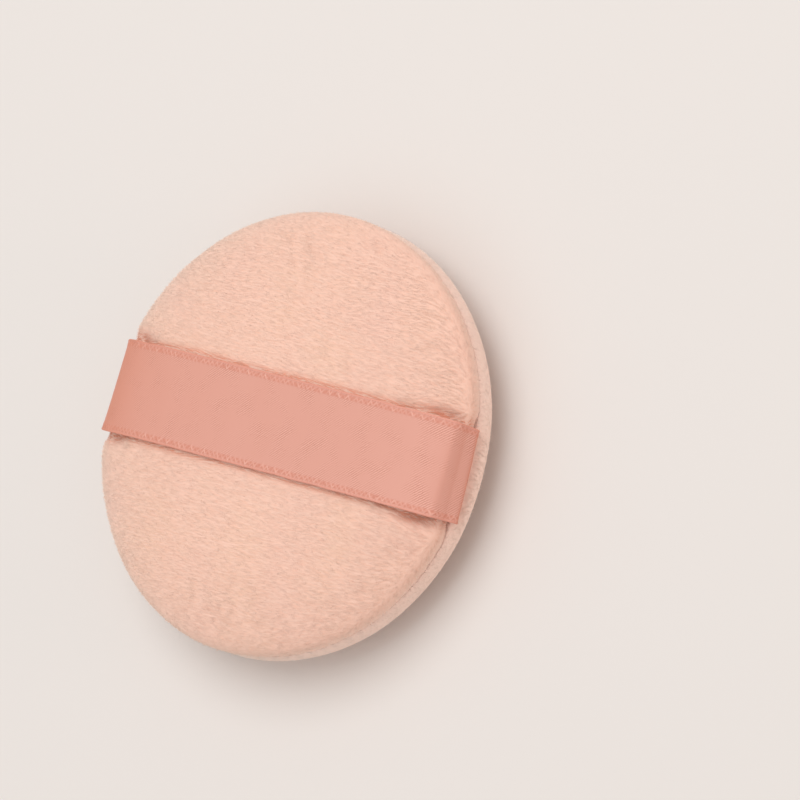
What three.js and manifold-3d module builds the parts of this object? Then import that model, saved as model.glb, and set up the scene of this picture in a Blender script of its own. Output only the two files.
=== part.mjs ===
// Powder puff: a round velour pad with a satin ribbon strap across its hand side.
// Millimetres, +Z up. The puff lies on its powder side, with the ribbon along X and the origin under its centre.
import * as THREE from "three";
import * as BufferGeometryUtils from "three/addons/utils/BufferGeometryUtils.js";
import Module from "manifold-3d";

// Pad
const PAD_DIAMETER = 75;
const HAND_CROWN = 9.2; // height of the hand side above the seam
const POWDER_CROWN = 9.5; // depth of the powder side below the seam, before it settles on a table
const SETTLED_FLAT = 0.5; // how much of the powder crown is pressed flat by the table
const BULGE_HEIGHT = 2.4; // where each side is fullest, above or below the seam
const CROWN_FULLNESS = 3; // exponent of the crown's side view: 2 is an ellipse, more is fuller
const SEAM_DRAW = 1.2; // how far the seam is drawn in from the fullest radius

// Velour cover and its seam
const CLOTH_THICKNESS = 1.3; // backing and pile together
const SEAM_ALLOWANCE = 5; // width of each panel's turned-in edge
const SEAM_GAP = 0.3; // between the two turned-in edges
const THREAD_DIAMETER = 0.4;
const STITCH_INSET = 1.5; // from the seam to the row of stitches
const TURNING_GAP = 30; // length of rim left open for turning, then closed by hand
const TURNING_GAP_ANGLE = 225; // degrees round the rim from +X

// Ribbon strap
const RIBBON_WIDTH = 16;
const RIBBON_THICKNESS = 0.4;
const RIBBON_TAIL = 4; // length of each end caught in the seam
const RIBBON_BEND = 0.9; // radius where the ribbon turns up out of the seam
const RIBBON_SLACK = 0.9; // how far the ribbon stands off the pad's shoulder
const RIBBON_DRAW = 1.1; // how far each sewn end draws the rim in to a flat
const DRAW_REACH = 13; // how far in from the rim that draw is felt
const SPAN_LENGTH = 62; // length of the part of the ribbon that lifts, measured along X

const CLEARANCE = 0.3; // between pieces that touch

// Steps of the curved surfaces
const ROUND_STEPS = 48;
const OUTER_STEPS = 10;
const INNER_STEPS = 6;
const SIDE_STEPS = 3;
const RIBBON_STEPS = 26;
const BEND_STEPS = 4;
const THREAD_SIDES = 6;
const SEAM_STEPS = 56;
const CLOSING_STEPS = 10;
const TANGENT_STEP = 1e-3; // radians either side of a point, for the slope of an outline
const HALVINGS = 40; // of an interval, to find a point on an outline

const PAD_RADIUS = PAD_DIAMETER / 2;
const SEAM_RADIUS = PAD_RADIUS - SEAM_DRAW;
const SEAM_HEIGHT = POWDER_CROWN - SETTLED_FLAT;
const ALLOWANCE_RADIUS = SEAM_RADIUS - SEAM_ALLOWANCE;
const EDGE_FACE = SEAM_GAP / 2;
const EDGE_BACK = EDGE_FACE + CLOTH_THICKNESS;
const THREAD_HEIGHT = EDGE_BACK + CLEARANCE + THREAD_DIAMETER / 2;
const QUARTER_TURN = Math.PI / 2;

const wasm = await Module();
wasm.setup();

const velour = () => new THREE.MeshStandardMaterial({ color: "#f2c4ac", roughness: 1, metalness: 0 });
const satin = () => new THREE.MeshStandardMaterial({ color: "#e4a590", roughness: 0.45, metalness: 0 });
const foam = () => new THREE.MeshStandardMaterial({ color: "#f4ead6", roughness: 1, metalness: 0 });
const thread = () => new THREE.MeshStandardMaterial({ color: "#e9b7a0", roughness: 0.8, metalness: 0 });

function smoothRamp(t) {
  const s = Math.min(Math.max(t, 0), 1);
  return s * s * (3 - 2 * s);
}

// The sewn ribbon ends draw the rim in to a flat: this moves a point of the pad inwards along X.
function drawnX(x, y) {
  const reach = smoothRamp((Math.abs(x) - PAD_RADIUS + DRAW_REACH) / DRAW_REACH);
  const across = Math.max(0, 1 - (y * y) / (2 * PAD_RADIUS * RIBBON_DRAW));
  return x - Math.sign(x) * RIBBON_DRAW * reach * across;
}

function drawIn(geometry) {
  const position = geometry.getAttribute("position");
  for (let i = 0; i < position.count; i += 1) {
    position.setX(i, drawnX(position.getX(i), position.getY(i)));
  }
  return geometry;
}

// Points down one side of a crown, as radius and height from the seam: from its top, or from a flat pressed into
// its top, to where the side is fullest.
function crownSide(radius, crown, steps, flat = 0) {
  const rise = crown - BULGE_HEIGHT;
  const start = Math.acos(1 - flat / rise);
  const points = [new THREE.Vector2(0, crown - flat)];
  for (let i = flat > 0 ? 0 : 1; i <= steps; i += 1) {
    const angle = start + ((QUARTER_TURN - start) * i) / steps;
    const out = radius * Math.sin(angle) ** (2 / CROWN_FULLNESS);
    points.push(new THREE.Vector2(out, BULGE_HEIGHT + rise * Math.cos(angle)));
  }
  return points;
}

// Points from the fullest part of the side in to the seam.
function drawnSide() {
  const points = [];
  for (let i = 1; i <= SIDE_STEPS; i += 1) {
    const angle = (QUARTER_TURN * i) / SIDE_STEPS;
    const height = EDGE_FACE + (BULGE_HEIGHT - EDGE_FACE) * (1 - Math.sin(angle));
    points.push(new THREE.Vector2(PAD_RADIUS - SEAM_DRAW * (1 - Math.cos(angle)), height));
  }
  return points;
}

// A solid turned about Z from a closed profile that runs anticlockwise, with radius to the right and height up.
function turned(profile) {
  return new THREE.LatheGeometry(profile, ROUND_STEPS).rotateX(QUARTER_TURN);
}

// One velour panel, a shallow bowl of cloth with its edge turned in at the seam, seen as the upper one.
function panelProfile(crown, flat) {
  const innerRadius = PAD_RADIUS - CLOTH_THICKNESS;
  const inner = crownSide(innerRadius, crown - CLOTH_THICKNESS, INNER_STEPS, flat);
  const allowance = [
    new THREE.Vector2(innerRadius, EDGE_BACK),
    new THREE.Vector2(ALLOWANCE_RADIUS, EDGE_BACK),
    new THREE.Vector2(ALLOWANCE_RADIUS, EDGE_FACE),
  ];
  const outer = [...crownSide(PAD_RADIUS, crown, OUTER_STEPS, flat), ...drawnSide()];
  return [...inner, ...allowance, ...outer.reverse()];
}

function turnedOver(profile) {
  return profile.map((point) => new THREE.Vector2(point.x, -point.y)).reverse();
}

// The foam fills the cover. The turned-in edges and their stitches press a slot into its rim.
function foamProfile() {
  const gap = CLOTH_THICKNESS + CLEARANCE;
  const slotHeight = THREAD_HEIGHT + THREAD_DIAMETER / 2 + CLEARANCE;
  const slotRadius = ALLOWANCE_RADIUS - CLEARANCE;
  const half = (crown, flat) => [
    ...crownSide(PAD_RADIUS - gap, crown - gap, INNER_STEPS, flat).filter((point) => point.y > slotHeight),
    new THREE.Vector2(PAD_RADIUS - gap, slotHeight),
    new THREE.Vector2(slotRadius, slotHeight),
  ];
  const upper = half(HAND_CROWN, 0).reverse();
  const lower = half(POWDER_CROWN, SETTLED_FLAT).map((point) => new THREE.Vector2(point.x, -point.y));
  return [...lower, ...upper];
}

// A length of thread that follows the rim.
class RimArc extends THREE.Curve {
  constructor(radius, height, from, sweep) {
    super();
    Object.assign(this, { radius, height, from, sweep });
  }

  getPoint(t, target = new THREE.Vector3()) {
    const angle = this.from + this.sweep * t;
    return target.set(this.radius * Math.cos(angle), this.radius * Math.sin(angle), this.height);
  }
}

function rimThread(radius, height, from, sweep, steps) {
  const corners = [];
  for (let i = 0; i < THREAD_SIDES; i += 1) {
    const angle = (2 * Math.PI * i) / THREAD_SIDES;
    corners.push(new THREE.Vector2(Math.cos(angle), Math.sin(angle)).multiplyScalar(THREAD_DIAMETER / 2));
  }
  const section = new THREE.Shape(corners);
  const extrudePath = new RimArc(radius, height, from, sweep);
  return drawIn(new THREE.ExtrudeGeometry(section, { steps, extrudePath, curveSegments: 1 }));
}

// A point of the hand side's outline in the plane Y = 0 and its outward normal, from the middle at angle 0 to the
// fullest side at a quarter turn.
function handOutline(angle) {
  const rise = HAND_CROWN - BULGE_HEIGHT;
  const at = (a) => {
    const out = PAD_RADIUS * Math.sin(a) ** (2 / CROWN_FULLNESS);
    return new THREE.Vector2(drawnX(out, 0), BULGE_HEIGHT + rise * Math.cos(a));
  };
  const before = at(Math.max(angle - TANGENT_STEP, 0));
  const after = at(Math.min(angle + TANGENT_STEP, QUARTER_TURN));
  const along = after.sub(before).normalize();
  return { point: at(angle), normal: new THREE.Vector2(-along.y, along.x) };
}

// The ribbon's middle line over the pad, clear of the cloth and slack over the shoulder.
function ribbonOver(angle) {
  const { point, normal } = handOutline(angle);
  const slack = RIBBON_SLACK * Math.sin(2 * angle) ** 2;
  return point.addScaledVector(normal, CLEARANCE + RIBBON_THICKNESS / 2 + slack);
}

// The angle on the hand outline at which the ribbon's middle line is a given way out from the middle.
function ribbonAngle(out) {
  let low = 0;
  let high = QUARTER_TURN;
  for (let i = 0; i < HALVINGS; i += 1) {
    const middle = (low + high) / 2;
    if (ribbonOver(middle).x < out) {
      low = middle;
    } else {
      high = middle;
    }
  }
  return (low + high) / 2;
}

// The sewn end from its tail between the turned-in edges, out of the seam and up to the fullest side.
function ribbonTail(inwards) {
  const wall = ribbonOver(QUARTER_TURN).x;
  const height = CLEARANCE - EDGE_FACE + RIBBON_THICKNESS / 2;
  const tailEnd = drawnX(SEAM_RADIUS, 0) - RIBBON_TAIL - inwards;
  const points = [new THREE.Vector2(tailEnd, height)];
  for (let i = 0; i <= BEND_STEPS; i += 1) {
    const angle = (QUARTER_TURN * i) / BEND_STEPS;
    const out = wall - RIBBON_BEND * (1 - Math.sin(angle));
    points.push(new THREE.Vector2(out, height + RIBBON_BEND * (1 - Math.cos(angle))));
  }
  return points;
}

function ribbonEndPath() {
  const from = ribbonAngle(SPAN_LENGTH / 2 + CLEARANCE);
  const points = ribbonTail(0);
  for (let i = 0; i <= RIBBON_STEPS / 2; i += 1) {
    points.push(ribbonOver(QUARTER_TURN + ((from - QUARTER_TURN) * i) / (RIBBON_STEPS / 2)));
  }
  return points;
}

function ribbonSpanPath() {
  const to = ribbonAngle(SPAN_LENGTH / 2);
  const right = [];
  for (let i = 0; i <= RIBBON_STEPS / 2; i += 1) {
    right.push(ribbonOver((to * i) / (RIBBON_STEPS / 2)));
  }
  const left = right.slice(1).map((point) => new THREE.Vector2(-point.x, point.y));
  return [...left.reverse(), ...right];
}

// A flat band of cloth along a path in the XZ plane, its width across Y.
function band(path, thickness, width) {
  const half = thickness / 2;
  const sides = [[], []];
  path.forEach((point, i) => {
    const before = path[Math.max(i - 1, 0)];
    const after = path[Math.min(i + 1, path.length - 1)];
    const along = after.clone().sub(before).normalize();
    const normal = new THREE.Vector2(-along.y, along.x);
    sides[0].push(point.clone().addScaledVector(normal, half));
    sides[1].push(point.clone().addScaledVector(normal, -half));
  });
  const shape = new THREE.Shape([...sides[0], ...sides[1].reverse()]);
  const geometry = new THREE.ExtrudeGeometry(shape, { depth: width, bevelEnabled: false, curveSegments: 1 });
  return geometry.translate(0, 0, -width / 2).rotateX(QUARTER_TURN);
}

function solidOf(geometry) {
  const bare = geometry.clone();
  bare.deleteAttribute("normal");
  bare.deleteAttribute("uv");
  const merged = BufferGeometryUtils.mergeVertices(bare);
  const vertProperties = new Float32Array(merged.getAttribute("position").array);
  const triVerts = new Uint32Array(merged.getIndex().array);
  return new wasm.Manifold(new wasm.Mesh({ numProp: 3, vertProperties, triVerts }));
}

function geometryOf(solid) {
  const mesh = solid.getMesh();
  const geometry = new THREE.BufferGeometry();
  geometry.setAttribute("position", new THREE.BufferAttribute(new Float32Array(mesh.vertProperties), 3));
  geometry.setIndex(new THREE.BufferAttribute(new Uint32Array(mesh.triVerts), 1));
  geometry.computeVertexNormals();
  return geometry;
}

// The hand panel, with a pocket in its turned-in edge for each ribbon tail.
function handPanel() {
  const panel = solidOf(drawIn(turned(panelProfile(HAND_CROWN, 0))));
  const pocketThickness = RIBBON_THICKNESS + 2 * CLEARANCE;
  const pocketWidth = RIBBON_WIDTH + 2 * CLEARANCE;
  const pocket = band(ribbonTail(CLEARANCE), pocketThickness, pocketWidth);
  const right = solidOf(pocket);
  const left = solidOf(pocket.clone().rotateZ(Math.PI));
  return geometryOf(panel.subtract(right).subtract(left));
}

const puff = new THREE.Group();
puff.position.z = SEAM_HEIGHT;

function addPiece(name, geometry, material) {
  const mesh = new THREE.Mesh(geometry, material);
  mesh.name = name;
  puff.add(mesh);
}

const stitchRadius = SEAM_RADIUS - STITCH_INSET;
const closingRadius = PAD_RADIUS - THREAD_DIAMETER / 2;
const openSweep = TURNING_GAP / SEAM_RADIUS;
const openStart = THREE.MathUtils.degToRad(TURNING_GAP_ANGLE) - openSweep / 2;
const seamStart = openStart + openSweep;
const seamSweep = 2 * Math.PI - openSweep;
const ribbonEnd = band(ribbonEndPath(), RIBBON_THICKNESS, RIBBON_WIDTH);

addPiece("powder_panel", drawIn(turned(turnedOver(panelProfile(POWDER_CROWN, SETTLED_FLAT)))), velour());
addPiece("hand_panel", handPanel(), velour());
addPiece("foam_core", drawIn(turned(foamProfile())), foam());
addPiece("seam_needle_thread", rimThread(stitchRadius, THREAD_HEIGHT, seamStart, seamSweep, SEAM_STEPS), thread());
addPiece("seam_bobbin_thread", rimThread(stitchRadius, -THREAD_HEIGHT, seamStart, seamSweep, SEAM_STEPS), thread());
addPiece("closing_stitch", rimThread(closingRadius, 0, openStart, openSweep, CLOSING_STEPS), thread());
addPiece("strap_end_right", ribbonEnd, satin());
addPiece("strap_end_left", ribbonEnd.clone().rotateZ(Math.PI), satin());
addPiece("strap_span", band(ribbonSpanPath(), RIBBON_THICKNESS, RIBBON_WIDTH), satin());

export default puff;
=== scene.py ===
# Powder puff: the finished look of a round velour pad with a satin ribbon strap, round its solids.
# Metres, +Z up. The puff lies on its powder side, with the ribbon along X and the origin under its centre.
import math

import bmesh
import bpy
import numpy as np
from mathutils import Matrix, Vector, noise
from mathutils.bvhtree import BVHTree


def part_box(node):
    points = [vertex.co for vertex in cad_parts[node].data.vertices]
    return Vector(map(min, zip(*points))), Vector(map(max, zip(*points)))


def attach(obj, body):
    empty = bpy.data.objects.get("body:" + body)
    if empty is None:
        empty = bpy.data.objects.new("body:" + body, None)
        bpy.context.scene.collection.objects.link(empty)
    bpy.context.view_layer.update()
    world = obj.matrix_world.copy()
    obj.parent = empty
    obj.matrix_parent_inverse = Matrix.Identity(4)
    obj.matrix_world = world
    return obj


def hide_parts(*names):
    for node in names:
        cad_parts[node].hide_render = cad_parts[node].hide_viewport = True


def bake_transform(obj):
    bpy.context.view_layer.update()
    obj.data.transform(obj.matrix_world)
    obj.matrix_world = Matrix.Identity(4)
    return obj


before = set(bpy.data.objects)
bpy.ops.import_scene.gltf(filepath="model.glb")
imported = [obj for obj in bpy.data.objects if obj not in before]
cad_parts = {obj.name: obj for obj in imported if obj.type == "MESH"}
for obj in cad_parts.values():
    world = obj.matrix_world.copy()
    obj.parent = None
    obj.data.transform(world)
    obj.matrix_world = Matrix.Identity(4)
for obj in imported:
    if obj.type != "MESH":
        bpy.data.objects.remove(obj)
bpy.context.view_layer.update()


# Foam core: a disc of soft open-celled foam that fills the cover and gives the puff its crown.
# It is cut a little smaller than the cover, and the seam's turned-in edges press a slot into its rim.
hand_low, hand_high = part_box("hand_panel")
powder_low, powder_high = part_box("powder_panel")
pad_radius = hand_high.y
seam_height = (hand_low.z + powder_high.z) / 2
hand_crown = hand_high.z - seam_height
settled_flat = 0.0005
powder_crown = seam_height - powder_low.z + settled_flat
bulge_height = 0.0024
crown_fullness = 3
ribbon_draw = 0.0014
draw_reach = 0.013
draw_release = 0.85
merge_distance = 1e-7
order_way = Vector((0.61, 0.33, 0.72))

foam_inset = 0.0021
foam_slot_height = 0.00245
foam_slot_radius = 0.031
foam_corner = 0.0006
foam_side_steps = 26
foam_round_steps = 128
foam_edge_angle = math.radians(60)
foam_deep = (214, 198, 168)
foam_pale = (247, 238, 219)
pore_depth = 0.00012
pore_scale = 1400


# A share from 0 to 1 that starts and ends gently.
def smooth_ramp(share):
    share = min(max(share, 0.0), 1.0)
    return share * share * (3 - 2 * share)


# Points down a crown's side, as radius and height from the seam, from its middle to where it is fullest.
def crown_side(radius, crown, steps):
    points = []
    for step in range(steps + 1):
        out = math.sin(math.pi / 2 * step / steps)
        height = bulge_height + (crown - bulge_height) * math.sqrt(max(0.0, 1 - out ** crown_fullness))
        points.append((radius * out, height))
    return points


# Mesh operators leave edges and faces in an order that changes from run to run. Sorted by where they lie,
# they come out the same each time, and so does all that is set out on them.
def put_in_order(bm):
    bm.verts.sort(key=lambda vert: vert.co.dot(order_way))
    bm.edges.sort(key=lambda edge: (edge.verts[0].co + edge.verts[1].co).dot(order_way))
    bm.faces.sort(key=lambda face: face.calc_center_median().dot(order_way))


# A bmesh turned about Z from a profile of radius and height from the seam.
def turned(profile, steps):
    bm = bmesh.new()
    chain = [bm.verts.new((radius, 0, seam_height + height)) for radius, height in profile]
    edges = [bm.edges.new(pair) for pair in zip(chain, chain[1:])]
    bmesh.ops.spin(
        bm, geom=chain + edges, cent=(0, 0, 0), axis=(0, 0, 1),
        angle=2 * math.pi, steps=steps, use_merge=True,
    )
    bmesh.ops.remove_doubles(bm, verts=bm.verts, dist=merge_distance)
    bmesh.ops.recalc_face_normals(bm, faces=bm.faces)
    put_in_order(bm)
    return bm


# The sewn ribbon ends draw the rim in to a flat at both ends of X. Below the seam it swells out again.
def draw_in(bm):
    for vert in bm.verts:
        reach = smooth_ramp((abs(vert.co.x) - pad_radius + draw_reach) / draw_reach)
        across = max(0.0, 1 - vert.co.y ** 2 / (2 * pad_radius * ribbon_draw))
        held = 1 - draw_release * smooth_ramp((seam_height - vert.co.z) / bulge_height)
        vert.co.x -= math.copysign(ribbon_draw * reach * across * held, vert.co.x)


# A colour written as it looks on a screen, in 0 to 255, as the shader's linear values.
def colour(red, green, blue):
    linear = []
    for value in (red / 255, green / 255, blue / 255):
        linear.append(value / 12.92 if value <= 0.04045 else ((value + 0.055) / 1.055) ** 2.4)
    return (*linear, 1.0)


# A node of a material, with its settings made and its inputs set or linked.
def node(material, kind, inputs, **settings):
    made = material.node_tree.nodes.new(kind)
    for name, value in settings.items():
        setattr(made, name, value)
    for name, value in inputs.items():
        if isinstance(value, bpy.types.NodeSocket):
            material.node_tree.links.new(value, made.inputs[name])
        else:
            made.inputs[name].default_value = value
    return made


# A new material and its shader, with values that are the same all over set on the shader itself.
def new_material(name, **values):
    material = bpy.data.materials.new(name)
    material.use_nodes = True
    shader = material.node_tree.nodes["Principled BSDF"]
    for socket, value in values.items():
        shader.inputs[socket.replace("_", " ")].default_value = value
    return material, shader


# A colour between two others, by an amount from 0 to 1.
def tint_between(material, amount, low, high):
    mix = node(material, "ShaderNodeMix", {0: amount, 6: low, 7: high}, data_type="RGBA")
    return mix.outputs[2]


# A finished bmesh as a smooth-shaded object of the scene.
def make_piece(bm, name, material):
    put_in_order(bm)
    mesh = bpy.data.meshes.new(name)
    bm.to_mesh(mesh)
    bm.free()
    mesh.shade_smooth()
    mesh.materials.append(material)
    piece = bpy.data.objects.new(name, mesh)
    bpy.context.scene.collection.objects.link(piece)
    return piece


foam_material, foam_shader = new_material("foam", Roughness=0.95, Specular_IOR_Level=0.15)
foam_place = node(foam_material, "ShaderNodeTexCoord", {}).outputs["Object"]
foam_cells = node(foam_material, "ShaderNodeTexVoronoi", {"Vector": foam_place, "Scale": 1700.0})
foam_tint = tint_between(
    foam_material, foam_cells.outputs["Distance"], colour(*foam_deep), colour(*foam_pale)
)
foam_bump = node(
    foam_material, "ShaderNodeBump",
    {"Height": foam_cells.outputs["Distance"], "Strength": 0.6, "Distance": 0.0002},
)
foam_material.node_tree.links.new(foam_tint, foam_shader.inputs["Base Color"])
foam_material.node_tree.links.new(foam_bump.outputs["Normal"], foam_shader.inputs["Normal"])

foam_radius = pad_radius - foam_inset
foam_hand = [
    (radius, height)
    for radius, height in crown_side(foam_radius, hand_crown - foam_inset, foam_side_steps)
    if height > foam_slot_height
]
foam_powder = [
    (radius, max(-height, settled_flat + foam_inset - powder_crown))
    for radius, height in crown_side(foam_radius, powder_crown - foam_inset, foam_side_steps)
    if height > foam_slot_height
]
foam_slot = [
    (foam_radius, foam_slot_height), (foam_slot_radius, foam_slot_height),
    (foam_slot_radius, -foam_slot_height), (foam_radius, -foam_slot_height),
]
foam_bm = turned(foam_hand + foam_slot + foam_powder[::-1], foam_round_steps)
foam_edges = [edge for edge in foam_bm.edges if edge.calc_face_angle(0) > foam_edge_angle]
bmesh.ops.bevel(
    foam_bm, geom=foam_edges, offset=foam_corner, affect="EDGES", segments=3, profile=0.5, material=-1
)
draw_in(foam_bm)
foam_bm.normal_update()
for vert in foam_bm.verts:
    vert.co += vert.normal * pore_depth * noise.noise(vert.co * pore_scale)
foam_filling = make_piece(foam_bm, "foam_filling", foam_material)
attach(foam_filling, "pad")
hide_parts("foam_core")


# Velour panels: two discs of short-piled peach velour, sewn face to face round the rim, then turned.
# The foam swells them, the seam draws the rim in to a groove, and each edge is turned in as an allowance.
ground_depth = 0.0002
seam_draw = 0.00035
fill_room = 0.0003
side_steps = 30
rim_steps = 6
round_steps = 144
fill_pressure = 13.0
fill_frames = 20
fill_limit = 0.0009
foot_height = 0.00035
seam_gap = 0.00003
allowance_width = 0.005
allowance_steps = 3
pocket_lift = 0.00055
pocket_slope = 0.001
backing_thickness = 0.0007
stitch_count = 92
pucker_depth = 0.00013
pucker_reach = 0.002
pucker_wander = 2
wander_depth = 0.00015
wander_scale = 130
lump_depth = 0.00012
lump_scale = 75
lump_shift = 3
span_low, span_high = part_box("strap_span")
ribbon_half_width = span_high.y
ribbon_offset = 0.0006
ribbon_skew = -0.0075
dent_beyond = 0.0003
dent_place = (0.0322, ribbon_half_width + dent_beyond)
dent_reach = (0.0034, 0.0014)
dent_depth = 0.0013

ground_radius = pad_radius - ground_depth
seam_radius = ground_radius - seam_draw


# How far across the ribbon a place lies: the ribbon is sewn a little off the middle and a little askew.
def across_ribbon(x, y):
    return y - ribbon_offset - ribbon_skew * x


# Points from the fullest part of the side in to the seam, without the two ends.
def drawn_side(steps):
    points = []
    for step in range(1, steps):
        share = step / steps
        points.append((ground_radius - seam_draw * share ** 2, bulge_height * (1 - share)))
    return points


# The sewn cover before it is filled, as one closed skin with a creased edge along the seam.
def cover_blank(room):
    smaller = ground_depth + room
    hand = crown_side(ground_radius, hand_crown - smaller, side_steps) + drawn_side(rim_steps)
    powder = crown_side(ground_radius, powder_crown - smaller, side_steps) + drawn_side(rim_steps)
    under = [(radius, -height) for radius, height in reversed(powder)]
    bm = turned(hand + [(seam_radius, 0.0)] + under, round_steps)
    crease = bm.edges.layers.float.new("crease_edge")
    for edge in bm.edges:
        if all(abs(vert.co.z - seam_height) < merge_distance for vert in edge.verts):
            edge[crease] = 1.0
    draw_in(bm)
    return bm


# The foam's push against the cover, as cloth under pressure that is held along its seam.
def filled_cover():
    blank = make_piece(cover_blank(fill_room), "cover_blank", None)
    at_rest = np.array([vert.co for vert in blank.data.vertices])
    sewn = blank.vertex_groups.new(name="sewn")
    sewn.add(np.flatnonzero(abs(at_rest[:, 2] - seam_height) < merge_distance).tolist(), 1.0, "REPLACE")
    cloth = blank.modifiers.new("Fill", "CLOTH").settings
    cloth.quality = 8
    cloth.use_pressure = True
    cloth.uniform_pressure_force = fill_pressure
    cloth.vertex_group_mass = sewn.name
    cloth.effector_weights.gravity = 0
    for step in range(1, fill_frames + 1):
        bpy.context.scene.frame_set(step)
    depsgraph = bpy.context.evaluated_depsgraph_get()
    filled = np.array([vert.co for vert in blank.evaluated_get(depsgraph).data.vertices])
    moved = filled - at_rest
    distance = np.linalg.norm(moved, axis=1, keepdims=True)
    held = at_rest + moved * np.minimum(1, fill_limit / np.maximum(distance, merge_distance))
    blank.modifiers.clear()
    bpy.context.scene.frame_set(1)
    blank.data.vertices.foreach_set("co", held.ravel())
    smooth = blank.modifiers.new("Smooth", "SUBSURF")
    smooth.levels = smooth.render_levels = 1
    depsgraph = bpy.context.evaluated_depsgraph_get()
    cover = bpy.data.meshes.new_from_object(blank.evaluated_get(depsgraph))
    bpy.data.objects.remove(blank)
    return cover


# One panel of the filled cover: up is 1 for the hand side and -1 for the powder side.
def velour_panel(cover, up):
    bm = bmesh.new()
    bm.from_mesh(cover)
    bmesh.ops.bisect_plane(
        bm, geom=bm.verts[:] + bm.edges[:] + bm.faces[:], dist=merge_distance,
        plane_co=(0, 0, seam_height), plane_no=(0, 0, up), clear_inner=True,
    )
    bm.normal_update()
    for vert in bm.verts:
        shape_velour(vert, up)
    turn_edge_in(bm, up)
    bmesh.ops.recalc_face_normals(bm, faces=bm.faces)
    return bm


# Lumps of the foam, puckers between the stitches, and the dents that the ribbon's corners pull.
def shape_velour(vert, up):
    place = vert.co.copy()
    rise = abs(place.z - seam_height)
    near_seam = math.exp(-(rise / pucker_reach) ** 2)
    turn = math.atan2(place.y, place.x)
    outwards = Vector((math.cos(turn), math.sin(turn), 0))
    wander = noise.noise(outwards * pad_radius * wander_scale + Vector((0, 0, up)))
    pucker = 0.5 + 0.5 * math.cos(stitch_count * turn + pucker_wander * wander)
    vert.co -= outwards * near_seam * (pucker_depth * pucker + wander_depth * wander)
    off_seam = smooth_ramp(rise / bulge_height)
    lump = noise.noise(place * lump_scale + Vector((0, 0, lump_shift * up)))
    vert.co += vert.normal * off_seam * lump_depth * lump
    if up > 0:
        along = (abs(place.x) - dent_place[0]) / dent_reach[0]
        across = (abs(across_ribbon(place.x, place.y)) - dent_place[1]) / dent_reach[1]
        vert.co -= vert.normal * dent_depth * math.exp(-along ** 2 - across ** 2)
    else:
        vert.co.z = max(vert.co.z, foot_height)
    vert.co.z += up * seam_gap / 2 * (1 - off_seam)


# The seam allowance, turned in from the seam, with room at each end of X for a ribbon tail.
def turn_edge_in(bm, up):
    loop = [edge for edge in bm.edges if edge.is_boundary]
    for step in range(allowance_steps):
        grown = bmesh.ops.extrude_edge_only(bm, edges=loop)["geom"]
        loop = [item for item in grown if isinstance(item, bmesh.types.BMEdge) and item.is_boundary]
        for vert in {vert for edge in loop for vert in edge.verts}:
            inwards = Vector((-vert.co.x, -vert.co.y, 0)).normalized()
            vert.co += inwards * allowance_width / allowance_steps
            if up > 0 and step == 0:
                beside_ribbon = abs(across_ribbon(vert.co.x, vert.co.y)) - ribbon_half_width
                beside = smooth_ramp(1 - beside_ribbon / pocket_slope)
                vert.co.z += pocket_lift * beside * (abs(vert.co.x) > abs(vert.co.y))


painted_sheen_full = 0.85
painted_sheen_most = 0.85
hand_onset = 0.25
powder_onset = 0.05
blend_reach = 0.0014
streak_stretch = (0.16, 1.0, 0.6)
seam_tint = colour(250, 214, 199)
velour_sheen = {
    "Roughness": 0.9, "Specular_IOR_Level": 0.2, "Sheen_Weight": 0.25, "Sheen_Roughness": 0.5,
    "Sheen_Tint": colour(255, 224, 203),
}


# Painted sheen on the velour: its colour is painted paler where it is seen at a slant, standing in for the
# light that comes through the tips of the pile.
def painted_sheen(material, tint, painted_sheen_tint, onset):
    slant = node(material, "ShaderNodeLayerWeight", {"Blend": 0.4}).outputs["Facing"]
    share = node(
        material, "ShaderNodeMapRange",
        {"Value": slant, "From Min": onset, "From Max": painted_sheen_full, "To Max": painted_sheen_most},
    ).outputs["Result"]
    return tint_between(material, share, tint, painted_sheen_tint)


# Along the seam the pile of both panels is brushed together, so one colour runs into the other.
def seam_blend(material, place, tint):
    height = node(material, "ShaderNodeSeparateXYZ", {"Vector": place}).outputs["Z"]
    above = node(material, "ShaderNodeMath", {0: height, 1: seam_height}, operation="SUBTRACT")
    away = node(material, "ShaderNodeMath", {0: above.outputs["Value"]}, operation="ABSOLUTE")
    share = node(
        material, "ShaderNodeMapRange",
        {"Value": away.outputs["Value"], "From Min": blend_reach, "From Max": 0.0},
        interpolation_type="SMOOTHSTEP",
    ).outputs["Result"]
    return tint_between(material, share, tint, seam_tint)


# The cloth under the pile, streaked the way that the pile is brushed, with a painted sheen where it is
# seen at a slant.
def ground_finish(name, deep, pale, onset):
    material, shader = new_material(name, **velour_sheen)
    place = node(material, "ShaderNodeTexCoord", {}).outputs["Object"]
    nap = node(material, "ShaderNodeMapping", {"Vector": place, "Scale": streak_stretch})
    streaks = node(
        material, "ShaderNodeTexNoise",
        {"Vector": nap.outputs["Vector"], "Scale": 3200.0, "Detail": 3.0, "Roughness": 0.6},
    ).outputs["Fac"]
    bump = node(material, "ShaderNodeBump", {"Height": streaks, "Strength": 0.5, "Distance": 0.0002})
    tint = seam_blend(material, place, tint_between(material, streaks, deep, pale))
    # Painted sheen: the cloth is painted paler where it is seen at a slant.
    tint = painted_sheen(material, tint, pale, onset)
    material.node_tree.links.new(tint, shader.inputs["Base Color"])
    material.node_tree.links.new(bump.outputs["Normal"], shader.inputs["Normal"])
    return material


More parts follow.
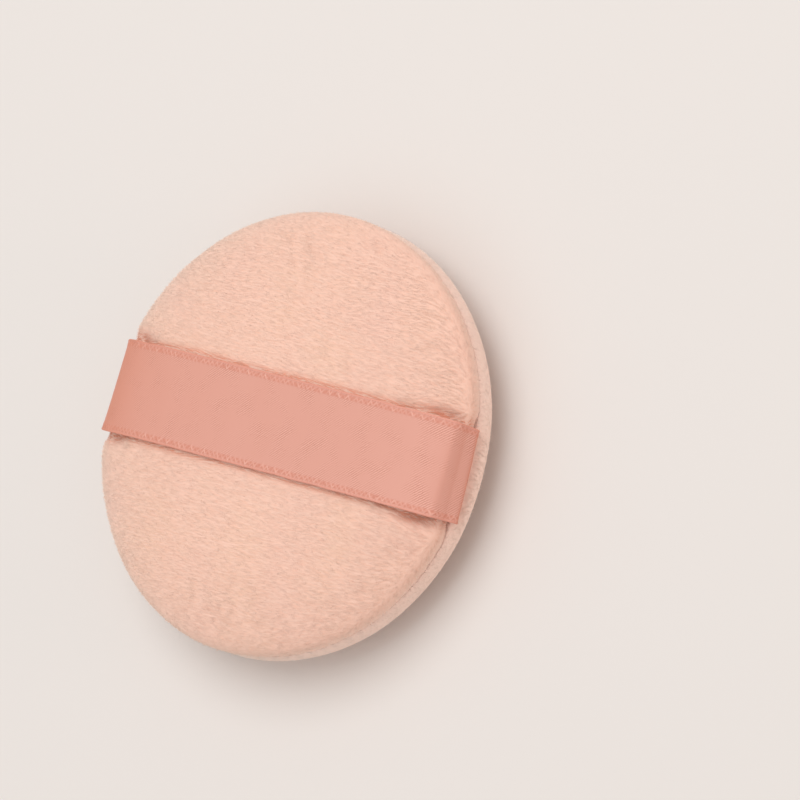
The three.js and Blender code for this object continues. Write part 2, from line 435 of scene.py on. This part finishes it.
cover_mesh = filled_cover()
velour_panels = {}
# The powder side has paler tints than the hand side, though both are the same velour: the paler copy is
# painted light for its pale, lit rim.
for panel_name, node_name, up, deep, pale, onset in (
    ("powder_velour", "powder_panel", -1, colour(245, 205, 187), colour(251, 225, 212), powder_onset),
    ("hand_velour", "hand_panel", 1, colour(244, 194, 173), colour(250, 212, 195), hand_onset),
):
    ground = ground_finish(panel_name, deep, pale, onset)
    panel = make_piece(velour_panel(cover_mesh, up), panel_name, ground)
    backing = panel.modifiers.new("Backing", "SOLIDIFY")
    backing.thickness = backing_thickness
    backing.offset = -1
    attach(panel, "pad")
    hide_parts(node_name)
    velour_panels[up] = panel
bpy.data.meshes.remove(cover_mesh)


# Pile: the soft face of the velour, tufts of fine fibre woven into each panel and brushed to lie one way.
# The ribbon and the table press it short. Each tuft is a slim closed cone with its foot in the cloth.
# One in a few is a loose fibre that stands away from the rest and makes the outline soft.
pile_count = 48000
pile_seed = 7
stray_share = (0.04, 0.4)
tuft_length = (0.0018, 0.0028)
tuft_width = (0.00017, 0.00028)
tuft_angles = (math.radians(0.5), math.radians(2.1))
stray_length = (0.0004, 0.0008)
stray_width = (0.00004, 0.00008)
stray_angles = (math.radians(15), math.radians(45))
tuft_thinness = 0.2
tuft_roundness = 0.05
rim_roundness = 0.3
powder_glow = 0.25
stray_roundness = 0.7
tuft_foot = 0.00003
lift_limit = 0.0003
rim_share = 0.35
rim_reach = 0.0045
nap_direction = np.array([-1.0, 0.0, 0.0])
seam_reach = 0.003
seam_pull = 1.2
swirl_scale = 60
curl_scale = 330
swirl_turn = 0.26
curl_turn = 0.05
rim_curl_turn = 0.4
curl_start = 0.75
free_rim = 0.5
pressed_share = 0.35
pressed_density = 0.7
pressed_beyond = 0.00025
painted_shade_reach = 0.0007
pile_floor = 0.00002
point_merge = 1e-4
least_length = 1e-6
map_reach = 0.49
tone_share = 0.5
tip_share = 0.4
foot_share = 0.15


# The pile's shape before it is set out: a three-sided cone of length and width 1 that stands on its foot.
def one_tuft():
    bm = bmesh.new()
    bmesh.ops.create_cone(bm, cap_ends=True, segments=3, radius1=0.5, radius2=0, depth=1)
    bmesh.ops.remove_doubles(bm, verts=bm.verts, dist=point_merge)
    bmesh.ops.translate(bm, verts=bm.verts, vec=(0, 0, 0.5))
    bmesh.ops.triangulate(bm, faces=bm.faces)
    bm.verts.index_update()
    corners = np.array([vert.co for vert in bm.verts])
    faces = np.array([[vert.index for vert in face.verts] for face in bm.faces])
    bm.free()
    return corners, faces


# Places spread evenly over the panel's outer face: the roots of the tufts and how the cloth faces there.
def tuft_roots(mesh, up, draws):
    mesh.calc_loop_triangles()
    corners = np.empty(len(mesh.loop_triangles) * 3, int)
    mesh.loop_triangles.foreach_get("vertices", corners)
    places = np.empty(len(mesh.vertices) * 3)
    facing = np.empty(len(mesh.vertices) * 3)
    mesh.vertices.foreach_get("co", places)
    mesh.vertices.foreach_get("normal", facing)
    corners = corners.reshape(-1, 3)
    places = places.reshape(-1, 3)[corners]
    facing = facing.reshape(-1, 3)[corners]
    middle = places.mean(axis=1)
    area = np.linalg.norm(np.cross(places[:, 1] - places[:, 0], places[:, 2] - places[:, 0]), axis=1) / 2
    turned_in = (middle[:, 2] - seam_height) * up < seam_gap / 2 + pocket_lift / 2
    turned_in &= np.hypot(middle[:, 0], middle[:, 1]) < seam_radius - 2 * pucker_depth - ribbon_draw
    area[turned_in] = 0
    area[pressed(middle, up)] *= pressed_density
    run = np.cumsum(area) / area.sum()
    spots = (np.arange(pile_count) + draws.random(pile_count)) / pile_count
    which = np.minimum(np.searchsorted(run, spots), len(area) - 1)
    weights = draws.dirichlet((1, 1, 1), pile_count)[:, :, None]
    roots = (places[which] * weights).sum(axis=1)
    normals = (facing[which] * weights).sum(axis=1)
    return roots, normals / np.linalg.norm(normals, axis=1, keepdims=True)


# Where the pile is pressed flat: under the ribbon, and where the puff rests on the table.
def pressed(places, up):
    if up > 0:
        return abs(across_ribbon(places[:, 0], places[:, 1])) < ribbon_half_width + pressed_beyond
    return places[:, 2] < foot_height + pressed_beyond


# The way that the pile is brushed at each root, turned by slow swirls and by curls that grow to the rim.
# Beside the seam it is brushed over the groove.
def brushed(roots, normals, up):
    slow = np.array([noise.noise(Vector(root) * swirl_scale) for root in roots])
    fine = np.array([noise.noise(Vector(root) * curl_scale) for root in roots])
    out = np.hypot(roots[:, 0], roots[:, 1]) / pad_radius
    rim = np.clip((out - curl_start) / (1 - curl_start), 0, 1)
    turn = slow * swirl_turn + fine * (curl_turn + rim * rim_curl_turn)
    near_seam = np.exp(-((roots[:, 2] - seam_height) / seam_reach) ** 2)
    nap = nap_direction - up * seam_pull * near_seam[:, None] * np.array([0.0, 0.0, 1.0])
    nap -= normals * (normals * nap).sum(axis=1, keepdims=True)
    nap /= np.maximum(np.linalg.norm(nap, axis=1, keepdims=True), least_length)
    across = np.cross(normals, nap)
    return nap * np.cos(turn)[:, None] + across * np.sin(turn)[:, None]


# The tips of the tufts, lifted where the cloth rises ahead of a tuft, so that none is sunk in it.
# The way that the cloth faces below each tip comes with them.
def clear_of_cloth(mesh, tips, heights, free):
    places = [vert.co for vert in mesh.vertices]
    cloth = BVHTree.FromPolygons(places, [face.vertices for face in mesh.polygons])
    lifted = tips.copy()
    facings = np.empty_like(tips)
    for index, tip in enumerate(map(Vector, tips)):
        place, facing = cloth.find_nearest(tip)[:2]
        facings[index] = facing
        if free[index]:
            short = heights[index] - (tip - place).dot(facing)
            lifted[index] += np.array(facing) * min(max(short, 0.0), lift_limit)
    return lifted, facings


# A random value for each tuft, between one pair of limits for a loose fibre and another for the rest.
def between(draws, stray, tuft_limits, stray_limits):
    stray_values = draws.uniform(*stray_limits, pile_count)
    tuft_values = draws.uniform(*tuft_limits, pile_count)
    return np.where(stray, stray_values, tuft_values)


# The corners of every tuft's cone, laid from its foot to its tip and flattened across the cloth.
def cone_corners(shape, feet, tips, side, width):
    over = np.cross(tips - feet, side)
    over /= np.linalg.norm(over, axis=1, keepdims=True)
    corners = feet[:, None] + (tips - feet)[:, None] * shape[:, 2:]
    sideways = side[:, None] * shape[:, :1] * width
    upwards = over[:, None] * shape[:, 1:2] * width * tuft_thinness
    corners += sideways + upwards
    corners = corners.reshape(-1, 3)
    corners[:, 2] = np.maximum(corners[:, 2], pile_floor)
    return corners


# The way that each tuft takes the light: as the cloth does, which keeps the pile soft, and a little as a
# fibre of its own. Near the seam it takes the light of whichever of its ends faces up more.
def pile_normals(own, normals, tip_normals, stray, short, up):
    upper = np.where(tip_normals[:, 2:] > normals[:, 2:], tip_normals, normals)
    lit = normals + (upper - normals) * short[:, None]
    lit[:, 2] += powder_glow * (up < 0)
    rounded = tuft_roundness + (rim_roundness - tuft_roundness) * short
    roundness = np.where(stray, stray_roundness, rounded)
    corners_each = len(own) // pile_count
    cloth = np.repeat(lit, corners_each, axis=0)
    return cloth + (own - cloth) * np.repeat(roundness, corners_each)[:, None]


# The pile of one panel, which up names as in velour_panel.
def set_out_pile(name, panel, up, material):
    draws = np.random.default_rng(pile_seed + up)
    shape, faces = one_tuft()
    roots, normals = tuft_roots(panel.data, up, draws)
    nap = brushed(roots, normals, up)
    near_rim = np.exp(-((roots[:, 2] - seam_height) / rim_reach) ** 2)
    stray = draws.random(pile_count) < stray_share[0] + (stray_share[1] - stray_share[0]) * near_rim
    lean = between(draws, stray, tuft_angles, stray_angles)[:, None]
    length = between(draws, stray, tuft_length, stray_length)[:, None]
    width = between(draws, stray, tuft_width, stray_width)[:, None, None]
    lean[pressed(roots, up)] *= pressed_share
    short = near_rim if up > 0 else np.ones(pile_count)
    length *= np.where(stray, 1.0, 1 - (1 - rim_share) * short)[:, None]
    feet = roots - normals * tuft_foot
    tips = roots + (nap * np.cos(lean) + normals * np.sin(lean)) * length
    heights = (np.sin(lean) * length)[:, 0]
    tips, tip_normals = clear_of_cloth(panel.data, tips, heights, ~stray & (near_rim < free_rim))
    corners = cone_corners(shape, feet, tips, np.cross(normals, nap), width)
    every = (faces + np.arange(pile_count)[:, None, None] * len(shape)).reshape(-1, 3)
    mesh = bpy.data.meshes.new(name)
    mesh.from_pydata(corners, [], every)
    for attribute, values in (
        ("tip", np.tile(shape[:, 2], pile_count)),
        ("tone", np.repeat(draws.random(pile_count), len(shape))),
        # Painted shade along the ribbon's edges and in the dents at its ends, on the hand side only.
        ("painted_shade", np.repeat(painted_shade_share(roots) * (up > 0), len(shape))),
    ):
        mesh.attributes.new(attribute, "FLOAT", "POINT").data.foreach_set("value", values)
    spread = pile_map(corners)[every.ravel()]
    mesh.uv_layers.new(name="OFBake").data.foreach_set("uv", spread.ravel())
    mesh.shade_smooth()
    own = np.empty(corners.size)
    mesh.vertices.foreach_get("normal", own)
    facing = pile_normals(own.reshape(-1, 3), normals, tip_normals, stray, short, up)
    mesh.normals_split_custom_set_from_vertices(facing)
    mesh.materials.append(material)
    pile = bpy.data.objects.new(name, mesh)
    bpy.context.scene.collection.objects.link(pile)
    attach(pile, "pad")


# How much painted shade the pile takes, from 0 to 1: most along the ribbon's edges and in the dents at its
# ends, where shade falls.
def painted_shade_share(places):
    off_middle = abs(across_ribbon(places[:, 0], places[:, 1]))
    beyond = (off_middle - ribbon_half_width) / painted_shade_reach
    along = (abs(places[:, 0]) - dent_place[0]) / dent_reach[0]
    across = (off_middle - dent_place[1]) / dent_reach[1]
    return np.maximum(np.exp(-beyond ** 2), np.exp(-along ** 2 - across ** 2))


# A map of the pile from above, with its steep rim laid out flat round the crown.
def pile_map(places):
    out = np.hypot(places[:, 0], places[:, 1])
    drop = np.ptp(places[:, 2]) - abs(places[:, 2] - seam_height)
    laid_out = out + np.maximum(drop, 0)
    reach = laid_out / laid_out.max()
    around = places[:, :2] / np.maximum(out, least_length)[:, None]
    return 0.5 + map_reach * around * reach[:, None]


# The colour of the pile, deeper at its foot and paler at its tip, and no two tufts quite alike. It has
# painted shade, deepest along the ribbon's edges and in the dents at its ends.
def pile_finish(name, deep, pale, painted_sheen_tint, painted_shade_tint, onset):
    material, shader = new_material(name, **velour_sheen)
    place = node(material, "ShaderNodeTexCoord", {}).outputs["Object"]
    blotches = node(material, "ShaderNodeTexNoise", {"Vector": place, "Scale": 85.0, "Detail": 3.0})
    tip = node(material, "ShaderNodeAttribute", {}, attribute_name="tip").outputs["Fac"]
    tone = node(material, "ShaderNodeAttribute", {}, attribute_name="tone").outputs["Fac"]
    share = node(
        material, "ShaderNodeMath", {0: tone, 1: tone_share, 2: foot_share}, operation="MULTIPLY_ADD",
    )
    rise = node(
        material, "ShaderNodeMath", {0: tip, 1: tip_share, 2: share.outputs[0]}, operation="MULTIPLY_ADD",
    )
    deep_tint = tint_between(material, blotches.outputs["Fac"], *deep)
    pale_tint = tint_between(material, blotches.outputs["Fac"], *pale)
    tint = seam_blend(material, place, tint_between(material, rise.outputs[0], deep_tint, pale_tint))
    # Painted sheen: the pile is painted paler where it is seen at a slant.
    tint = painted_sheen(material, tint, painted_sheen_tint, onset)
    # Painted shade: a deeper, redder colour along the ribbon's edges and in the dents at its ends.
    painted_shade = node(material, "ShaderNodeAttribute", {}, attribute_name="painted_shade").outputs["Fac"]
    tint = tint_between(material, painted_shade, tint, painted_shade_tint)
    material.node_tree.links.new(tint, shader.inputs["Base Color"])
    return material


# Paler than the hand pile: painted light on the same velour, for the powder side's pale, lit rim.
powder_finish = pile_finish(
    "powder_pile",
    deep=(colour(248, 205, 189), colour(248, 208, 187)),
    pale=(colour(254, 226, 214), colour(254, 229, 211)),
    painted_sheen_tint=colour(255, 247, 242),
    painted_shade_tint=colour(246, 208, 190),
    onset=powder_onset,
)
hand_finish = pile_finish(
    "hand_pile",
    deep=(colour(242, 184, 165), colour(244, 189, 160)),
    pale=(colour(250, 208, 194), colour(251, 213, 189)),
    painted_sheen_tint=colour(252, 228, 213),
    painted_shade_tint=colour(237, 158, 130),
    onset=hand_onset,
)
set_out_pile("powder_pile", velour_panels[-1], -1, powder_finish)
set_out_pile("hand_pile", velour_panels[1], 1, hand_finish)


# Ribbon strap: one length of woven satin ribbon laid over the hand side, both ends caught in the seam.
# It is made in two halves that meet in the middle, so each bends from its sewn end to the lifted middle.
ribbon_thickness = 0.00032
ribbon_clear = 0.0003
crease_angle = math.radians(71)
crease_sharpness = 11
flare_height = 0.0036
gather_reach = 0.007
ribbon_bend = 0.0009
ribbon_tail = 0.004
tail_height = 0.00035
path_steps = 400
wall_steps = 40
ribbon_long_steps = 386
ribbon_wide_steps = 100
edge_bunching = 0.35
selvedge_cord = 0.0004
cord_height = 0.00008
loop_pitch = 0.00096
loop_inset = 0.0008
loop_reach = 0.00036
loop_thread = 0.00015
loop_height = 0.00008
loop_jitter = 0.4
loop_jitter_scale = 420
loop_fade_scale = 1100
loop_fade = (0.6, 0.9)
loop_faintest = 0.2
edge_wander = 0.00008
edge_wander_scale = 260
ribbon_ripple = 0.00008
ribbon_ripple_scale = 150
ribbon_edge_angle = math.radians(50)


# The ribbon's middle line from the crown's middle to the end of the tail, as places along X and heights.
def ribbon_path(ribbon_slack, ribbon_flare):
    rise = hand_crown - bulge_height
    angles = np.linspace(0, math.pi / 2, path_steps)
    out = pad_radius * np.sin(angles) ** (2 / crown_fullness)
    reach = np.clip((out - pad_radius + draw_reach) / draw_reach, 0, 1)
    out = out - ribbon_draw * reach * reach * (3 - 2 * reach)
    over = np.stack([out, seam_height + bulge_height + rise * np.cos(angles)], axis=1)
    along = np.gradient(over, axis=0)
    along /= np.linalg.norm(along, axis=1, keepdims=True)
    normal = np.stack([-along[:, 1], along[:, 0]], axis=1)
    rising = (angles / crease_angle) ** 2
    falling = ((math.pi / 2 - angles) / (math.pi / 2 - crease_angle)) ** 2
    lower = np.exp(-crease_sharpness * rising) + np.exp(-crease_sharpness * falling)
    slack = -np.log(lower) / crease_sharpness
    over = over + normal * (ribbon_clear + ribbon_slack * np.maximum(slack, 0))[:, None]
    wall = over[-1, 0]
    fold = seam_height + tail_height + ribbon_bend
    drop = np.stack([np.full(wall_steps, wall), np.linspace(over[-1, 1], fold, wall_steps)], axis=1)
    bend = np.linspace(math.pi / 2, 0, wall_steps)
    turn_out = wall - ribbon_bend * (1 - np.sin(bend))
    turn_height = seam_height + tail_height + ribbon_bend * (1 - np.cos(bend))
    turn = np.stack([turn_out, turn_height], axis=1)
    tail = [[wall - ribbon_bend - ribbon_tail, seam_height + tail_height]]
    line = np.concatenate([over, drop[1:], turn[1:], tail])
    flare_top = seam_height + flare_height
    fallen = np.clip((flare_top - line[:, 1]) / (flare_top - fold), 0, 1)
    line[:, 0] += ribbon_flare * fallen * fallen * (3 - 2 * fallen)
    run = np.concatenate([[0], np.cumsum(np.linalg.norm(np.diff(line, axis=0), axis=1))])
    return line, run


# The woven edge has a thin cord along its rim, from 0 to 1 in height.
def selvedge_rise(across):
    from_edge = ribbon_half_width - abs(across)
    return max(0.0, 4 * from_edge / selvedge_cord * (1 - from_edge / selvedge_cord))


# Inside the cord a thread runs to and fro in loops, no two quite alike, from 0 to 1 in height.
def loop_rise(along, across):
    from_edge = ribbon_half_width - abs(across)
    edge_side = math.copysign(1, across)
    jitter = loop_jitter * noise.noise(Vector((along * loop_jitter_scale, 0, edge_side)))
    fade = loop_fade[0] + loop_fade[1] * noise.noise(Vector((along * loop_fade_scale, 2, edge_side)))
    zigzag = 4 * abs((along / loop_pitch + jitter) % 1 - 0.5) - 1
    slope = 4 * loop_reach / loop_pitch
    off_thread = (from_edge - loop_inset - loop_reach * zigzag) / math.hypot(1, slope)
    return min(max(fade, loop_faintest), 1.0) * math.exp(-(off_thread / loop_thread) ** 2)


# A half of the ribbon, on the side of X that toward names, woven flat and then laid along its line.
def ribbon_half(toward, line, run, gather, slant):
    half_length = run[-1]
    bm = bmesh.new()
    bmesh.ops.create_grid(bm, x_segments=ribbon_long_steps, y_segments=ribbon_wide_steps, size=0.5)
    along_layer = bm.verts.layers.float.new("along")
    across_layer = bm.verts.layers.float.new("across")
    loop_layer = bm.verts.layers.float.new("loop")
    for vert in bm.verts:
        length = (vert.co.x + 0.5) * half_length
        bunched = 1 + edge_bunching - edge_bunching * 4 * vert.co.y ** 2
        across = 2 * vert.co.y * bunched * ribbon_half_width
        vert[along_layer] = toward * length
        vert[across_layer] = across
        vert[loop_layer] = loop_rise(toward * length, across)
        near_end = smooth_ramp((length - half_length + ribbon_tail + gather_reach) / gather_reach)
        out = np.interp(length, run, line[:, 0]) - slant * near_end * across
        height = np.interp(length, run, line[:, 1])
        gathered = 1 - gather * near_end
        wander = noise.noise(Vector((toward * length * edge_wander_scale, 0, math.copysign(1, across))))
        edge_side = (across / ribbon_half_width) ** 3
        off_middle = ribbon_offset + ribbon_skew * toward * out
        sideways = across * gathered + edge_wander * wander * edge_side + off_middle
        vert.co = (toward * out, sideways, height)
    if toward < 0:
        bmesh.ops.reverse_faces(bm, faces=bm.faces)
    bm.normal_update()
    for vert in bm.verts:
        ripple = noise.noise(vert.co * ribbon_ripple_scale) + 1
        rise = ribbon_ripple * ripple + cord_height * selvedge_rise(vert[across_layer])
        rise += loop_height * vert[loop_layer]
        vert.co += vert.normal * (ribbon_thickness / 2 + rise)
    bmesh.ops.solidify(bm, geom=bm.faces[:], thickness=ribbon_thickness)
    for edge in bm.edges:
        edge.smooth = edge.calc_face_angle(0) < ribbon_edge_angle
    return bm


satin_material, satin_shader = new_material("satin_ribbon", Roughness=0.4, Specular_IOR_Level=0.22)
satin_along = node(satin_material, "ShaderNodeAttribute", {}, attribute_name="along").outputs["Fac"]
satin_across = node(satin_material, "ShaderNodeAttribute", {}, attribute_name="across").outputs["Fac"]


# A step of arithmetic in the ribbon's material, on values or on what other nodes give.
def satin_math(operation, *values):
    made = node(satin_material, "ShaderNodeMath", dict(enumerate(values)), operation=operation)
    return made.outputs["Value"]


twill_pitch = 0.00035
twill_angle = math.radians(42)
twill_turns = 2 * math.pi / twill_pitch
slub_turn = 4.0
band_squareness = 4.0
weave_place = node(
    satin_material, "ShaderNodeCombineXYZ", {"X": satin_along, "Y": satin_across}
).outputs["Vector"]
patches = node(
    satin_material, "ShaderNodeTexNoise", {"Vector": weave_place, "Scale": 260.0, "Detail": 2.0}
).outputs["Fac"]
slubs = node(
    satin_material, "ShaderNodeTexNoise", {"Vector": weave_place, "Scale": 2600.0, "Detail": 2.0}
).outputs["Fac"]
twill_phase = satin_math(
    "MULTIPLY_ADD", satin_across, twill_turns * math.cos(twill_angle),
    satin_math("MULTIPLY", satin_along, -twill_turns * math.sin(twill_angle)),
)
twill_phase = satin_math("MULTIPLY_ADD", slubs, slub_turn, twill_phase)
twill_strength = node(
    satin_material, "ShaderNodeMapRange", {"Value": patches, "From Min": 0.4, "From Max": 0.68}
).outputs["Result"]
twill_lines = satin_math("MULTIPLY_ADD", satin_math("SINE", twill_phase), 0.5, 0.5)
twill = satin_math("MULTIPLY_ADD", satin_math("SUBTRACT", twill_lines, 0.5), twill_strength, 0.5)
from_edge = satin_math("SUBTRACT", ribbon_half_width, satin_math("ABSOLUTE", satin_across))
loop_row = satin_math("MULTIPLY", satin_math("SUBTRACT", from_edge, loop_inset), 1 / loop_reach)
loop_fall = satin_math("MULTIPLY", satin_math("POWER", loop_row, band_squareness), -1.0)
loop_band = satin_math("POWER", math.e, loop_fall)
satin_loops = node(satin_material, "ShaderNodeAttribute", {}, attribute_name="loop").outputs["Fac"]
satin_cord = node(
    satin_material, "ShaderNodeMapRange",
    {"Value": from_edge, "From Min": selvedge_cord, "From Max": selvedge_cord / 2},
    interpolation_type="SMOOTHSTEP",
).outputs["Result"]
satin_weave = tint_between(satin_material, twill, colour(205, 138, 121), colour(238, 181, 165))
satin_band = tint_between(satin_material, satin_loops, colour(211, 138, 119), colour(238, 180, 163))
satin_edged = tint_between(satin_material, loop_band, satin_weave, satin_band)
satin_tint = tint_between(satin_material, satin_cord, satin_edged, colour(226, 157, 139))
# Painted shade on the satin: its colour is painted deeper where it is seen at a slant, as where the ribbon
# curves away at its ends.
satin_facing = node(satin_material, "ShaderNodeLayerWeight", {"Blend": 0.4}).outputs["Facing"]
satin_painted_shade = node(
    satin_material, "ShaderNodeMapRange",
    {"Value": satin_facing, "From Min": 0.17, "From Max": 0.6, "To Max": 0.8},
).outputs["Result"]
satin_tint = tint_between(satin_material, satin_painted_shade, satin_tint, colour(214, 134, 108))
satin_relief = satin_math("ADD", satin_loops, twill)
satin_bump = node(
    satin_material, "ShaderNodeBump", {"Height": satin_relief, "Strength": 0.5, "Distance": 0.00008}
)
satin_material.node_tree.links.new(satin_tint, satin_shader.inputs["Base Color"])
satin_material.node_tree.links.new(satin_bump.outputs["Normal"], satin_shader.inputs["Normal"])

for ribbon_name, end_node, toward, ribbon_slack, ribbon_flare, gather, slant in (
    ("ribbon_right", "strap_end_right", 1, 0.0012, 0.0006, 0.03, 0.05),
    ("ribbon_left", "strap_end_left", -1, 0.0002, 0.0001, 0.06, 0.09),
):
    line, run = ribbon_path(ribbon_slack, ribbon_flare)
    ribbon = make_piece(ribbon_half(toward, line, run, gather, slant), ribbon_name, satin_material)
    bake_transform(ribbon)
    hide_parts(end_node, "strap_span")


# Machine seam: a row of lockstitches through both turned-in edges, needle thread over bobbin thread.
# Each stitch is a short plump bead of twisted polyester thread, drawn down into the cloth at both ends.
turning_gap = 0.030
gap_turn = math.radians(225)
row_inset = 0.0015
row_radius = seam_radius - row_inset + ground_depth
stitch_length = 0.0025
thread_radius = 0.0002
stitch_overlap = 1.08
thread_deep = (238, 190, 170)
thread_pale = (251, 216, 200)

thread_material, thread_shader = new_material(
    "thread", Roughness=0.55, Specular_IOR_Level=0.4, Sheen_Weight=0.2
)
thread_place = node(thread_material, "ShaderNodeTexCoord", {}).outputs["Object"]
thread_twist = node(
    thread_material, "ShaderNodeTexWave", {"Vector": thread_place, "Scale": 1300.0, "Distortion": 1.5},
    bands_direction="DIAGONAL",
)
thread_tint = tint_between(
    thread_material, thread_twist.outputs["Fac"], colour(*thread_deep), colour(*thread_pale)
)
thread_bump = node(
    thread_material, "ShaderNodeBump",
    {"Height": thread_twist.outputs["Fac"], "Strength": 0.5, "Distance": 0.00005},
)
thread_material.node_tree.links.new(thread_tint, thread_shader.inputs["Base Color"])
thread_material.node_tree.links.new(thread_bump.outputs["Normal"], thread_shader.inputs["Normal"])


# The stitches of one thread, each a bead laid along the rim, all round except for the turning gap.
def seam_stitches(height):
    bm = bmesh.new()
    gap = turning_gap / row_radius
    count = round((2 * math.pi - gap) * row_radius / stitch_length)
    step = (2 * math.pi - gap) / count
    for stitch in range(count):
        turn = gap_turn + gap / 2 + step * (stitch + 0.5)
        bead = bmesh.ops.create_uvsphere(bm, u_segments=8, v_segments=6, radius=thread_radius)["verts"]
        bmesh.ops.scale(bm, verts=bead, vec=(1, stitch_overlap * stitch_length / 2 / thread_radius, 1))
        bmesh.ops.translate(bm, verts=bead, vec=(row_radius, 0, height))
        bmesh.ops.rotate(bm, verts=bead, cent=(0, 0, 0), matrix=Matrix.Rotation(turn, 3, "Z"))
    draw_in(bm)
    return bm


for stitches_name, thread_node in (
    ("needle_stitches", "seam_needle_thread"), ("bobbin_stitches", "seam_bobbin_thread"),
):
    thread_low, thread_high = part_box(thread_node)
    row_height = (thread_low.z + thread_high.z) / 2
    stitches = make_piece(seam_stitches(row_height), stitches_name, thread_material)
    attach(stitches, "pad")
    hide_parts(thread_node)


# Closing stitch: the gap left for turning, shut by hand with slanted stitches of the same thread.
# The thread runs in and out of the two folds and crosses the groove between them.
closing_pitch = 0.0021
closing_reach = 0.0011
closing_lift = 0.0003
closing_points = 4

closing_curve = bpy.data.curves.new("closing_stitches", "CURVE")
closing_curve.dimensions = "3D"
closing_curve.bevel_depth = thread_radius
closing_curve.bevel_resolution = 2
closing_curve.resolution_u = 6
closing_count = round(turning_gap / closing_pitch)
closing_line = closing_curve.splines.new("NURBS")
closing_line.points.add(closing_points * closing_count)
closing_line.use_endpoint_u = True
closing_line.order_u = 3
for index, point in enumerate(closing_line.points):
    stage = index / closing_points - closing_count / 2
    turn = gap_turn + stage * closing_pitch / pad_radius
    swing = 2 * math.pi * index / closing_points
    over = pad_radius - thread_radius - ground_depth + closing_lift * math.cos(2 * swing)
    height = seam_height + closing_reach * math.sin(swing)
    point.co = (over * math.cos(turn), over * math.sin(turn), height, 1.0)
closing_tube = bpy.data.objects.new("closing_tube", closing_curve)
bpy.context.scene.collection.objects.link(closing_tube)
closing_depsgraph = bpy.context.evaluated_depsgraph_get()
closing_mesh = bpy.data.meshes.new_from_object(closing_tube.evaluated_get(closing_depsgraph))
bpy.data.objects.remove(closing_tube)
closing_bm = bmesh.new()
closing_bm.from_mesh(closing_mesh)
closing_stitches = make_piece(closing_bm, "closing_stitches", thread_material)
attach(closing_stitches, "pad")
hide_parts("closing_stitch")


# Floor, light and camera: a plain pale floor, two large soft lamps on the left and above, a weak warm one
# on the right, and a pale room around. The camera looks down on the ribbon from beyond its right end.
sight = Vector((0.5968, -0.0507, 0.8008)).normalized()
image_up = Vector((-0.1887, 0.9611, 0.201))
image_right = image_up.cross(sight).normalized()
image_up = sight.cross(image_right)
camera_distance = 0.9
frame_width = 0.132
aim_right = 0.0176
aim_up = 0.0059
floor_size = 3.0
room_light = 0.59
lamp_distance = 0.9
white = colour(255, 255, 255)
warm = colour(255, 212, 196)

floor_material, floor_shader = new_material("floor", Roughness=0.8, Specular_IOR_Level=0.2)
floor_shader.inputs["Base Color"].default_value = colour(230, 224, 220)
floor_bm = bmesh.new()
bmesh.ops.create_grid(floor_bm, x_segments=2, y_segments=2, size=floor_size / 2)
floor = make_piece(floor_bm, "floor", floor_material)

room = bpy.data.worlds.new("room")
room.use_nodes = True
room.node_tree.nodes["Background"].inputs["Color"].default_value = colour(255, 253, 250)
room.node_tree.nodes["Background"].inputs["Strength"].default_value = room_light
bpy.context.scene.world = room

middle = Vector((0, 0, seam_height))


# A soft round lamp, seen from the puff along a way given as right, up and towards the camera.
def soft_lamp(name, way, size, power, tint):
    towards = (way[0] * image_right + way[1] * image_up + way[2] * sight).normalized()
    data = bpy.data.lights.new(name, "AREA")
    data.shape = "DISK"
    data.size = size
    data.energy = power
    data.color = tint[:3]
    lamp = bpy.data.objects.new(name, data)
    lamp.visible_camera = False
    lamp.location = middle + towards * lamp_distance
    lamp.rotation_euler = towards.to_track_quat("Z", "Y").to_euler()
    bpy.context.scene.collection.objects.link(lamp)


soft_lamp("key_lamp", (-0.45, 0.5, 0.72), size=0.8, power=3.95, tint=white)
soft_lamp("fill_lamp", (-0.7, -0.25, 0.65), size=0.8, power=0.8, tint=white)
soft_lamp("side_lamp", (0.75, 0.0, 0.65), size=0.3, power=1.0, tint=warm)

camera_data = bpy.data.cameras.new("camera")
camera_data.lens = camera_data.sensor_width * camera_distance / frame_width
camera = bpy.data.objects.new("camera", camera_data)
camera.location = middle + image_right * aim_right + image_up * aim_up + sight * camera_distance
camera.rotation_euler = Matrix((image_right, image_up, sight)).transposed().to_euler()
bpy.context.scene.collection.objects.link(camera)
bpy.context.scene.camera = camera
bpy.context.scene.view_settings.view_transform = "Standard"
